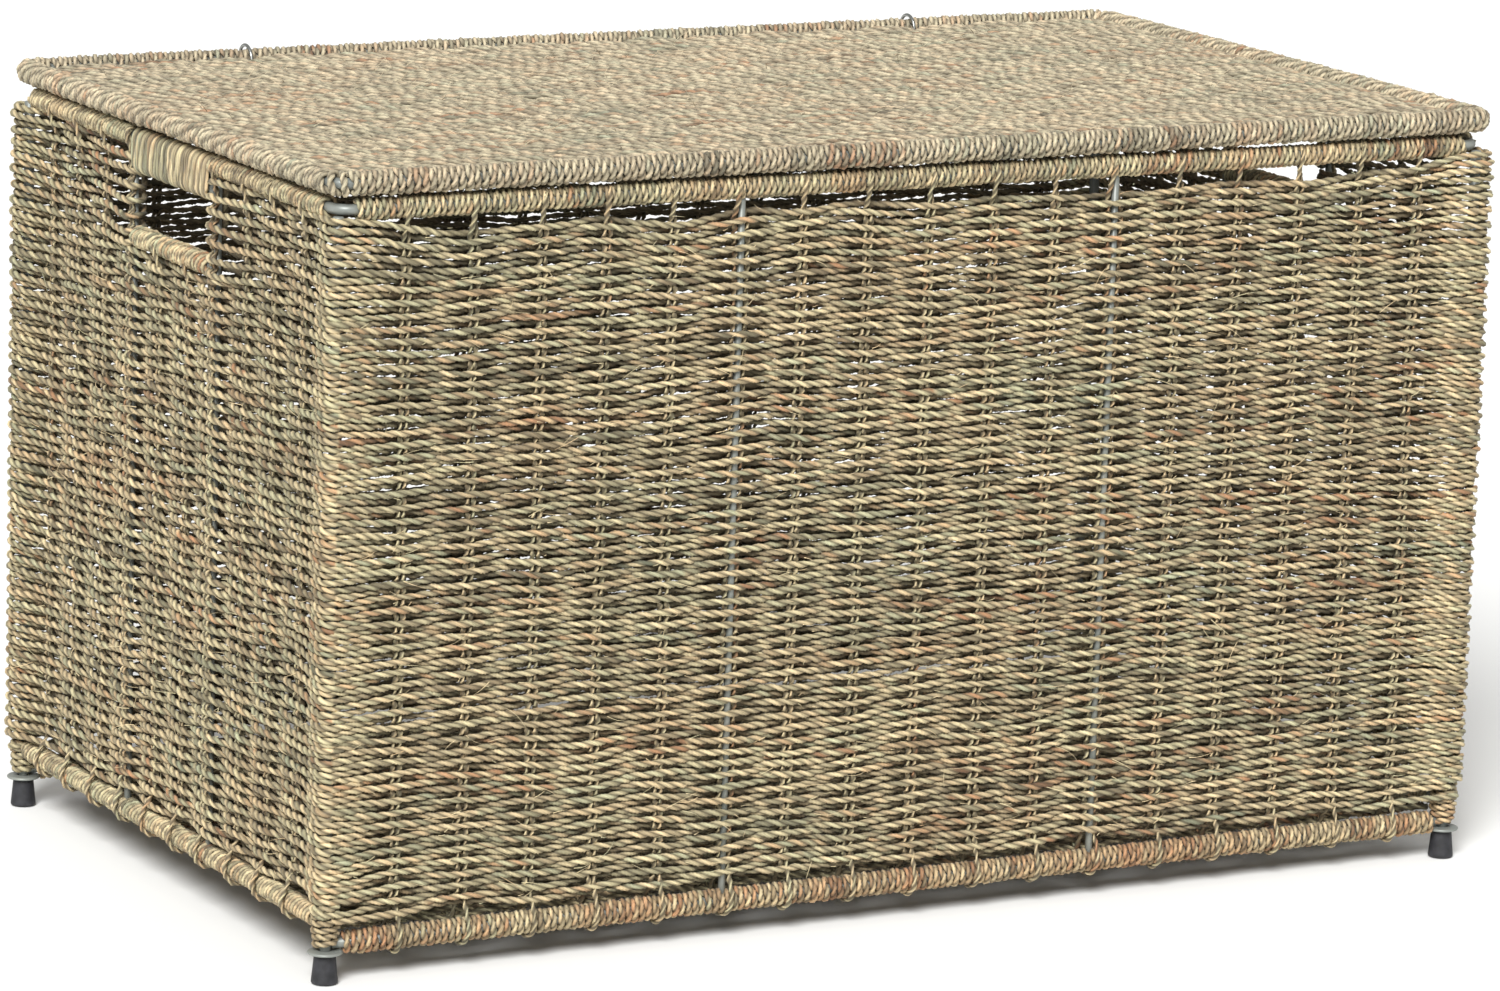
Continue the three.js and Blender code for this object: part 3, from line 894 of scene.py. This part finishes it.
# The band wound round both grip rods at once.
def gripPath(random, sign):
    radius, pitch = whipping["bodyRadius"], whipping["gripPitch"]
    drop = ringHeight - gripHeight
    around = 2 * drop + 2 * math.pi * radius
    length = 2 * (jambY - whipping["jambGap"])
    turns = length / pitch
    count = int(turns * around / whipping["step"])
    share = np.linspace(0, 1, count + 1)
    at = (share * turns % 1) * around
    out = np.zeros(count + 1)
    height = np.zeros(count + 1)
    quarter = math.pi * radius
    legs = [at < drop, (at >= drop) & (at < drop + quarter),
            (at >= drop + quarter) & (at < 2 * drop + quarter), at >= 2 * drop + quarter]
    out[legs[0]], height[legs[0]] = radius, gripHeight + at[legs[0]]
    angle = (at[legs[1]] - drop) / radius
    out[legs[1]], height[legs[1]] = radius * np.cos(angle), ringHeight + radius * np.sin(angle)
    out[legs[2]], height[legs[2]] = -radius, ringHeight - (at[legs[2]] - drop - quarter)
    angle = (at[legs[3]] - 2 * drop - quarter) / radius
    out[legs[3]], height[legs[3]] = -radius * np.cos(angle), gripHeight - radius * np.sin(angle)
    along = -length / 2 + share * length + drift(random, share * length, 4, 0.15)
    path = np.column_stack([sign * (halfLength + out), along, height])
    return soften(path, 2)


def buildWhipping():
    random = np.random.default_rng(41)
    shoulderX = halfLength - whipping["bareCorner"]
    shoulderY = halfDepth - whipping["bareCorner"]
    jamb = jambY - whipping["jambGap"]
    brown = {**cordLook, "hueMiddle": 0.76, "toneMiddle": 0.52}
    smooth = {**cordLook, "toneMiddle": 0.5, "rustShare": 0}
    for name, sign in longNames.items():
        y = sign * halfDepth
        for part, height, kind, look in (("Top", ringHeight, "body", cordLook),
                                         ("Bottom", longRail, "rail", brown)):
            whipRod(random, f"{name}{part}Whipping", f"{part.lower()}_wrap_{name}",
                    (-shoulderX, y, height), (shoulderX, y, height), kind, look)
    for name, sign in endNames.items():
        x = sign * halfLength
        for part, height, reach in (("Bottom", endRail, shoulderY), ("Sill", sillHeight, jamb)):
            whipRod(random, f"{name}{part}Whipping", f"{part.lower()}_wrap_{name}",
                    (x, -reach, height), (x, reach, height))
        for longName, longSign in longNames.items():
            whipRod(random, f"{name}TopWhipping{longName.capitalize()}", f"top_wrap_{name}_{longName}",
                    (x, longSign * (jambY - 3), ringHeight), (x, longSign * shoulderY, ringHeight))
        path = gripPath(random, sign)
        tube = twistCord(random, path, whipping["gripCord"], whipping["gripLay"], (0, 1, 0), look=smooth)
        buildTubes(f"{name}Grip", [tube], whippingGrass, "body", [f"grip_wrap_{name}"])


# The foot of each corner post, wound from the flange up to the first full row.
def buildPostWhipping():
    random = np.random.default_rng(47)
    radius, pitch, cord = (whipping["post" + part] for part in ("Radius", "Pitch", "Cord"))
    cords = []
    for longSign in longNames.values():
        for endSign in endNames.values():
            x, y = endSign * halfLength, longSign * halfDepth
            bottom, top = flangeTop + cord, endRail + whipping["postTop"]
            path, axis = rodHelix(random, (x, y, bottom), (x, y, top), radius, pitch, (1, 0, 0))
            fromFlange = (path[:, 2] - flangeTop) / whipping["squeezeHeight"]
            squeeze = 1 - whipping["postSqueeze"] * np.exp(-fromFlange ** 2)
            path[:, 0] = x + (path[:, 0] - x) * squeeze
            path[:, 1] = y + (path[:, 1] - y) * squeeze
            cords.append(twistCord(random, path, cord, whipping["cordLay"], axis))
    buildTubes("postWhipping", cords, whippingGrass, "body", ["front_weave", "back_weave"])


buildWhipping()
buildPostWhipping()
print("rods whipped")


# Lid

lidWeave = {
    "bend": 9,
    "rowPitch": 3.5,
    "cordRadius": 2.3,
    "cordLay": 17,
    "step": 2.2,
    "reach": 1.7,
    "wander": (45, 0.45),        # uneven course of a row: spacing and amount
    "rise": (25, 0.2),
    "warpWander": (30, 0.25),
    "warpRise": (30, 0.2),
    "bandRows": 34,
    "slotHalf": 2.4,
    "slotDepth": 18,
    "endGap": 3,                 # rows stop this far inside the rim rod's axis
    "sideGap": 7.5,              # and the first row lies this far from it
    "warpGap": 1,
    "besideSteel": 3.2,
}
lidCordLook = {**cordLook, "toneMiddle": 0.68, "hueMiddle": 0.5, "rustShare": 0.04}


# Closed route of a rounded rectangle: points, and outward directions in its plane.
def roundedRoute(bend, spacing, reachX, reachY):
    points, outwards = [], []
    corners = [(1, -1, -90), (1, 1, 0), (-1, 1, 90), (-1, -1, 180)]
    for x, y, start in corners:
        center = np.array([x * (reachX - bend), y * (reachY - bend)])
        for degrees in np.linspace(start, start + 90, max(int(bend * 1.6 / spacing), 4)):
            direction = np.array([math.cos(math.radians(degrees)), math.sin(math.radians(degrees))])
            points.append(center + bend * direction)
            outwards.append(direction)
    points.append(points[0])
    outwards.append(outwards[0])
    points, outwards = np.array(points), np.array(outwards)
    return points, outwards, travelled(points)


def rimPath(random):
    points, outwards, distance = roundedRoute(lidWeave["bend"], 1, lidHalfLength, lidHalfDepth)
    length = distance[-1]
    turns = round(length / whipping["lidPitch"])
    radius = whipping["lidRadius"]
    count = int(turns * 2 * math.pi * radius / whipping["step"])
    at = np.linspace(0, length, count, endpoint=False)
    slid = (at + drift(random, at, *whipping["rimPitchDrift"])) % length
    base = np.stack([np.interp(slid, distance, points[:, i]) for i in range(2)], 1)
    outward = unit(np.stack([np.interp(slid, distance, outwards[:, i]) for i in range(2)], 1))
    angle = 2 * np.pi * turns * at / length
    away = radius + drift(random, at, *whipping["rimRadiusDrift"])
    fromHinge = (abs(base[:, 0]) - hingeX) / whipping["biteWidth"]
    away -= whipping["hingeBite"] * np.exp(-fromHinge ** 2) * (base[:, 1] > 0)
    flat = base + outward * (away * np.sin(angle))[:, None]
    path = np.column_stack([flat, rimHeight + away * np.cos(angle)])
    axis = np.column_stack([-outward[:, 1], outward[:, 0], np.zeros(count)])
    return path, axis


def lidRow(random, y, parity):
    edge = lidHalfLength - lidWeave["endGap"]
    knots = np.concatenate([[-lidHalfLength], longPlaces, [lidHalfLength]])
    swing = lidWeave["reach"] * np.where((np.arange(len(knots)) + parity) % 2, 1.0, -1.0)
    swing[0] = swing[-1] = 0
    spans = [(-edge, edge)]
    if y > lidHalfDepth - lidWeave["slotDepth"]:
        near, far = hingeX - lidWeave["slotHalf"], hingeX + lidWeave["slotHalf"]
        spans = [(-edge, -far), (-near, near), (far, edge)]
    cords = []
    for fromX, toX in spans:
        x = np.linspace(fromX, toX, int((toX - fromX) / lidWeave["step"]) + 2)
        at = x - x[0]
        height = rimHeight + waves(x, knots, swing) + drift(random, at, *lidWeave["rise"])
        path = np.column_stack([x, y + drift(random, at, *lidWeave["wander"]), height])
        cord = twistCord(random, path, lidWeave["cordRadius"], lidWeave["cordLay"], (0, 0, 1),
                         look=lidCordLook)
        # Painted shade on the parts of the row that lie low in the lid.
        cords.append(paintDeepShade(cord, cord["points"][:, 2] - rimHeight))
    return cords


def lidWarp(random, x, apart):
    edge = lidHalfDepth - lidWeave["warpGap"]
    y = np.linspace(-edge, edge, int(edge) + 1)
    at = y - y[0]
    cords = []
    for offset in (-apart, apart):
        path = np.column_stack([x + offset + drift(random, at, *lidWeave["warpWander"]), y,
                                rimHeight + drift(random, at, *lidWeave["warpRise"])])
        cords.append(twistCord(random, path, warpLook["radius"], warpLook["lay"], (0, 0, 1), corners=6,
                               look=lidCordLook))
    return cords


def buildLid():
    random = np.random.default_rng(53)
    path, axis = rimPath(random)
    tube = twistCord(random, path, whipping["lidCord"], whipping["cordLay"], axis, True, look=lidCordLook)
    buildTubes("lidRimWhipping", [tube], lidGrass, "lid",
               ["lid_wrap_front", "lid_wrap_back", "lid_wrap_left", "lid_wrap_right"])
    edge = lidHalfDepth - lidWeave["sideGap"]
    places = np.linspace(-edge, edge, int(2 * edge / lidWeave["rowPitch"]) + 1)
    band = lidWeave["bandRows"]
    for number, start in enumerate(range(0, len(places), band)):
        cords = []
        for i, y in enumerate(places[start:start + band]):
            cords += lidRow(random, y, start + i)
        buildTubes(f"lidBand{number + 1}", cords, lidGrass, "lid", ["lid_weave"])
    cords = []
    for x, isSteel in zip(longPlaces, longSteel):
        cords += lidWarp(random, x, lidWeave["besideSteel"] if isSteel else warpLook["apart"])
    buildTubes("lidWarps", cords, lidGrass, "lid", ["lid_weave"])


buildLid()
print("lid woven")


# Base

baseWeave = {
    "rowPitch": 4.2,
    "cordRadius": 2.2,
    "cordLay": 18,
    "step": 3,
    "warpStep": 2.5,
    "reach": 1.6,
    "endGap": 5,                 # from the axes of the corner posts to the ends of the rows
    "sideGap": 8.5,
    "besideSteel": 3.4,
    "wander": (45, 0.4),
    "warpWander": (30, 0.25),
    "bandRows": 50,
}


def buildBase():
    random = np.random.default_rng(61)
    edgeX, edgeY = halfLength - baseWeave["endGap"], halfDepth - baseWeave["sideGap"]
    knots = np.concatenate([[-halfLength], longPlaces, [halfLength]])
    cords = []
    for number, y in enumerate(np.linspace(-edgeY, edgeY, int(2 * edgeY / baseWeave["rowPitch"]) + 1)):
        x = np.linspace(-edgeX, edgeX, int(2 * edgeX / baseWeave["step"]) + 1)
        swing = baseWeave["reach"] * np.where((np.arange(len(knots)) + number) % 2, 1.0, -1.0)
        swing[0] = swing[-1] = 0
        height = baseHeight + waves(x, knots, swing)
        path = np.column_stack([x, y + drift(random, x - x[0], *baseWeave["wander"]), height])
        cords.append(twistCord(random, path, baseWeave["cordRadius"], baseWeave["cordLay"], (0, 0, 1),
                               corners=6))
    band = baseWeave["bandRows"]
    for number, start in enumerate(range(0, len(cords), band)):
        addWall(f"baseBand{number + 1}", cords[start:start + band], ["base_weave"])
    warps = []
    for place, isSteel in zip(longPlaces, longSteel):
        apart = baseWeave["besideSteel"] if isSteel else warpLook["apart"]
        y = np.linspace(-edgeY, edgeY, int(edgeY * 2 / baseWeave["warpStep"]))
        for offset in (-apart, apart):
            x = place + offset + drift(random, y - y[0], *baseWeave["warpWander"])
            path = np.column_stack([x, y, np.full(len(y), baseHeight)])
            warps.append(twistCord(random, path, warpLook["radius"], warpLook["lay"], (0, 0, 1), corners=6))
    addWall("baseWarps", warps, ["base_weave"])


buildBase()
print("base woven")


# Steel

def straightRod(start, end, radius, corners=24):
    start, end = np.array(start, float), np.array(end, float)
    axis = unit(end - start)
    side = (1, 0, 0) if abs(axis[0]) < 0.5 else (0, 0, 1)
    bevel = min(0.4, radius * 0.2)
    path = np.array([start, start + bevel * axis, (start + end) / 2, end - bevel * axis, end])
    tube = roundRod(path, radius, side, corners=corners)
    points = tube["points"].reshape(5, corners, 3)
    for ring, center in ((0, start), (4, end)):
        points[ring] = center + (points[ring] - center) * (radius - bevel) / radius
    tube["points"] = points.reshape(-1, 3)
    return tube


def boxEnds(node, axis):
    low, high = (np.array(corner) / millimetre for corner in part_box(node))
    middle = (low + high) / 2
    start, end = middle.copy(), middle.copy()
    start[axis], end[axis] = low[axis], high[axis]
    other = (axis + 1) % 3
    return start, end, (high[other] - low[other]) / 2


def rodsFor(nodes, axis):
    tubes = []
    for node in nodes:
        start, end, radius = boxEnds(node, axis)
        tubes.append(straightRod(start, end, radius))
    return tubes


def frameRing(bend, height, reachX, reachY):
    points, outwards, _ = roundedRoute(bend, 0.8, reachX, reachY)
    path = np.column_stack([points, np.full(len(points), height)])[:-1]
    side = np.column_stack([outwards, np.zeros(len(outwards))])[:-1]
    return roundRod(path, rodRadius, side, closed=True)


ringBend = 9


def addSteel(name, tubes, body, nodes):
    buildTubes(name, tubes, steel, body, nodes)


def buildSteel():
    corners = [f"{a}_{b}" for a in longNames for b in endNames]
    posts = [f"corner_post_{corner}" for corner in corners]
    addSteel("cornerPosts", rodsFor(posts, 2), "body", posts)
    addSteel("topRing", [frameRing(ringBend, ringHeight, halfLength, halfDepth)], "body", ["top_ring_rod"])
    longRails = ["bottom_rod_front", "bottom_rod_back"]
    endRails = ["bottom_rod_left", "bottom_rod_right"]
    addSteel("bottomRods", rodsFor(longRails, 0) + rodsFor(endRails, 1), "body", longRails + endRails)
    uprights = [f"{a}_upright_{b}" for a in longNames for b in endNames]
    uprights += [f"{b}_end_upright_{a}" for a in longNames for b in endNames]
    addSteel("uprights", rodsFor(uprights, 2), "body", uprights)
    cross = ["base_cross_rod_left", "base_cross_rod_right"]
    cross += [f"{part}_rod_{name}" for part in ("grip", "sill") for name in endNames]
    addSteel("crossRods", rodsFor(cross, 1), "body", cross)
    rim = frameRing(lidWeave["bend"], rimHeight, lidHalfLength, lidHalfDepth)
    addSteel("lidRim", [rim], "lid", ["lid_frame_rod"])
    lidCross = ["lid_cross_rod_left", "lid_cross_rod_right"]
    addSteel("lidCrossRods", rodsFor(lidCross, 1), "lid", lidCross)


buildSteel()


# A solid turned about a vertical axis from a profile of (radius, height), closed on the axis or
# back on its own start.
def turned(name, centers, profile, closes, segments=40):
    profile = np.array(profile, float)
    angle = 2 * np.pi * np.arange(segments) / segments
    points, faces = [], []
    count = len(profile)
    for x, y in centers:
        first = len(points)
        for radius, height in profile:
            points += [(x + radius * math.cos(a), y + radius * math.sin(a), height) for a in angle]
        spans = count if closes else count - 1
        for i in range(spans):
            a, b = first + i * segments, first + (i + 1) % count * segments
            faces += [(a + j, a + (j + 1) % segments, b + (j + 1) % segments, b + j) for j in range(segments)]
        if not closes:
            faces.append([first + j for j in range(segments)][::-1])
            faces.append([first + (count - 1) * segments + j for j in range(segments)])
    mesh = bpy.data.meshes.new(name)
    mesh.from_pydata([tuple(c * millimetre for c in point) for point in points], [], faces)
    mesh.polygons.foreach_set("use_smooth", np.ones(len(faces), bool))
    mesh.update()
    return mesh


footProfile = [
    (6.4, 0.0), (7.0, 0.25), (7.25, 0.8), (7.2, 1.8), (7.05, 3.2), (6.75, 6.0), (6.35, 10.0), (6.0, 13.6),
    (5.85, 15.0), (5.6, 15.55), (5.1, 15.8), (3.6, 15.8), (3.4, 15.6), (3.4, 4.2),
]
flangeProfile = [
    (3.5, 0.0), (9.0, 0.0), (9.35, 0.2), (9.5, 0.6), (9.4, 1.1), (9.0, 1.45), (8.2, 1.6), (3.9, 1.75),
    (3.5, 1.75),
]


def buildFeet():
    corners = [(a, b) for a in longNames for b in endNames]
    centers = [(endNames[b] * halfLength, longNames[a] * halfDepth) for a, b in corners]
    names = [f"{a}_{b}" for a, b in corners]
    feet = turned("footCaps", centers, footProfile, False)
    storePiece("footCaps", feet, rubber, "body", [f"foot_cap_{name}" for name in names])
    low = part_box("foot_flange_front_left")[0][2] / millimetre
    profile = [(radius, low + height) for radius, height in flangeProfile]
    flanges = turned("footFlanges", centers, profile, True)
    flangeNodes = [f"foot_flange_{name}" for name in names]
    storePiece("footFlanges", flanges, steel, "body", flangeNodes)


hingeLook = {
    "loopRadius": 8.5,
    "wireRadius": 1,
    "step": 0.9,
}


# Each hinge is one loop of wire round the lid's back rod and the top ring, as a long link.
def buildHinges():
    for name, sign in endNames.items():
        points = []
        radius, drop, back = hingeLook["loopRadius"], rimHeight - ringHeight, lidHalfDepth - halfDepth
        lean = math.atan2(back, drop)
        arcs = ((-back, -drop, -88, 0), (0, 0, 0, 180), (-back, -drop, 180, 268))
        for centerY, centerZ, start, end in arcs:
            for degrees in np.linspace(start, end, 14):
                angle = math.radians(degrees) - lean
                points.append((centerY + radius * math.cos(angle), centerZ + radius * math.sin(angle)))
        x = sign * hingeX
        path = resample([(x, lidHalfDepth + y, rimHeight + z) for y, z in points], hingeLook["step"])
        loop = roundRod(path, hingeLook["wireRadius"], (1, 0, 0), corners=16)
        buildTubes(f"{name}HingeLoop", [loop], wire, "body", [f"hinge_loop_{name}"])


buildFeet()
buildHinges()
print("steel and feet made")


# Loose fibres that stand off the cords

fibreLook = {
    "perWall": 900,              # for a long wall; an end gets fewer
    "onLid": 1200,
    "offWall": (3.2, 5.0),       # from the middle of the weave to a root
    "offLid": (2.2, 3.6),
    "fromLidEdge": 24,           # so that none reaches the walls' whipping
    "meanLength": 7,
    "radius": (0.14, 0.28),
}


# Thin tapering hairs, one from each root, that run along the wall and lift off it.
def growFibres(random, root, along, out, name, material, body, nodes):
    count = len(root)
    share = np.linspace(0, 1, 5)[None, :, None]
    length = np.clip(random.exponential(fibreLook["meanLength"], count), 3, 20)[:, None, None]
    curl = unit(random.normal(size=(count, 3)))[:, None]
    tilt = random.uniform(0.1, 0.7, (count, 1))
    way = random.choice([-1, 1], (count, 1))
    direction = unit(way * along + tilt * out + 0.35 * random.normal(size=(count, 3)))[:, None]
    bow = 0.35 * curl - 0.25 * np.array(out)
    paths = root[:, None] + length * (share * direction + share ** 2 * bow)
    thin = np.linspace(1, 0.35, 5)[:, None, None]
    tubes = []
    for path in paths:
        axis = unit(path[-1] - path[0])
        side = (0, 0, 1) if abs(axis[2]) < 0.8 else (1, 0, 0)
        tube = roundRod(path, random.uniform(*fibreLook["radius"]), side, corners=3)
        points = tube["points"].reshape(5, 3, 3)
        tube["points"] = (path[:, None] + (points - path[:, None]) * thin).reshape(-1, 3)
        count = len(tube["points"])
        tube["tone"] = np.full(count, random.uniform(0.7, 1.0))
        tube["hue"] = np.full(count, random.normal(0.5, 0.15))
        tube["groove"] = np.zeros(count)
        tube["fibre"] = np.repeat(path, 3, 0)
        tubes.append(tube)
    buildTubes(name, tubes, material, body, nodes)


def buildFibres():
    random = np.random.default_rng(71)
    for side, name in zip(sides, ("front", "right", "back", "left")):
        count = int(fibreLook["perWall"] * side["length"] / (2 * halfLength))
        at = random.uniform(4, side["length"] - 4, count)
        away = random.uniform(*fibreLook["offWall"], count)
        flat = side["start"] + at[:, None] * side["along"] + away[:, None] * side["outward"]
        height = random.uniform(endRail + 8, sillHeight, count)
        if name in longNames:
            height = random.uniform(longRail + 12, ringHeight - 10, count)
        growFibres(random, np.column_stack([flat, height]), np.array([*side["along"], 0]),
                   np.array([*side["outward"], 0]), f"{name}Fibres", wallGrass, "body",
                   [f"{name}_weave"])
    count = fibreLook["onLid"]
    inside = fibreLook["fromLidEdge"]
    root = np.column_stack([random.uniform(-1, 1, count) * (lidHalfLength - inside),
                            random.uniform(-1, 1, count) * (lidHalfDepth - inside),
                            rimHeight + random.uniform(*fibreLook["offLid"], count)])
    growFibres(random, root, np.array([1.0, 0, 0]), np.array([0, 0, 1.0]), "lidFibres", lidGrass, "lid",
               ["lid_weave"])


buildFibres()
print("fibres grown")


# Stage, light and camera

stageLook = {
    "floorColor": "#f2f2f0",
    "floorSize": 12,
    "worldStrength": 0.45,
    "keyStrength": 4.3,
    "keyAngle": 25,              # degrees of sky the lamp fills, for soft shadows
    "keyFrom": (-0.52, -0.66, 0.68),
}


# Puts a lamp or camera into the scene, looking away from back.
def addFacing(name, data, right, up, back, place):
    holder = bpy.data.objects.new(name, data)
    bpy.context.scene.collection.objects.link(holder)
    rows = [[right[i], up[i], back[i], place[i]] for i in range(3)]
    holder.matrix_world = Matrix(rows + [[0, 0, 0, 1]])
    return holder


def buildStage():
    mesh = bpy.data.meshes.new("floor")
    half = stageLook["floorSize"] / 2
    corners = [(-half, -half, 0), (half, -half, 0), (half, half, 0), (-half, half, 0)]
    mesh.from_pydata(corners, [], [(0, 1, 2, 3)])
    material, tree, shader = startMaterial("floor")
    shader.inputs["Base Color"].default_value = linearColor(stageLook["floorColor"])
    shader.inputs["Roughness"].default_value = 0.9
    mesh.materials.append(material)
    floor = bpy.data.objects.new("floor", mesh)
    bpy.context.scene.collection.objects.link(floor)
    floor.location.z = -0.0005
    world = bpy.data.worlds.new("studio")
    world.use_nodes = True
    sky = world.node_tree.nodes["Background"].inputs
    sky["Color"].default_value = (1, 1, 1, 1)
    sky["Strength"].default_value = stageLook["worldStrength"]
    bpy.context.scene.world = world
    lamp = bpy.data.lights.new("key", "SUN")
    lamp.energy = stageLook["keyStrength"]
    lamp.angle = math.radians(stageLook["keyAngle"])
    back = unit(np.array(stageLook["keyFrom"]))
    right = unit(np.cross((0, 1, 0), back))
    addFacing("key", lamp, right, np.cross(back, right), back, (0, 0, 0))


cameraLook = {
    "lens": 171.7,
    "azimuth": -28.763,
    "height": 11.754,            # degrees above the level
    "roll": 1.751,
    "distance": 4.145,
    "aim": (0.01157, 0.19365),   # the point looked at, across and up, in metres
}


def buildCamera():
    azimuth, height, roll = (math.radians(cameraLook[key]) for key in ("azimuth", "height", "roll"))
    back = np.array([math.sin(azimuth) * math.cos(height), -math.cos(azimuth) * math.cos(height),
                     math.sin(height)])
    level = np.array([math.cos(azimuth), math.sin(azimuth), 0])
    upright = np.cross(back, level)
    right = math.cos(roll) * level + math.sin(roll) * upright
    up = math.cos(roll) * upright - math.sin(roll) * level
    place = back * cameraLook["distance"] + right * cameraLook["aim"][0] + up * cameraLook["aim"][1]
    data = bpy.data.cameras.new("camera")
    data.lens = cameraLook["lens"]
    data.sensor_width = 36
    bpy.context.scene.camera = addFacing("camera", data, right, up, back, place)


buildStage()
buildCamera()
bpy.context.scene.view_settings.view_transform = "Standard"
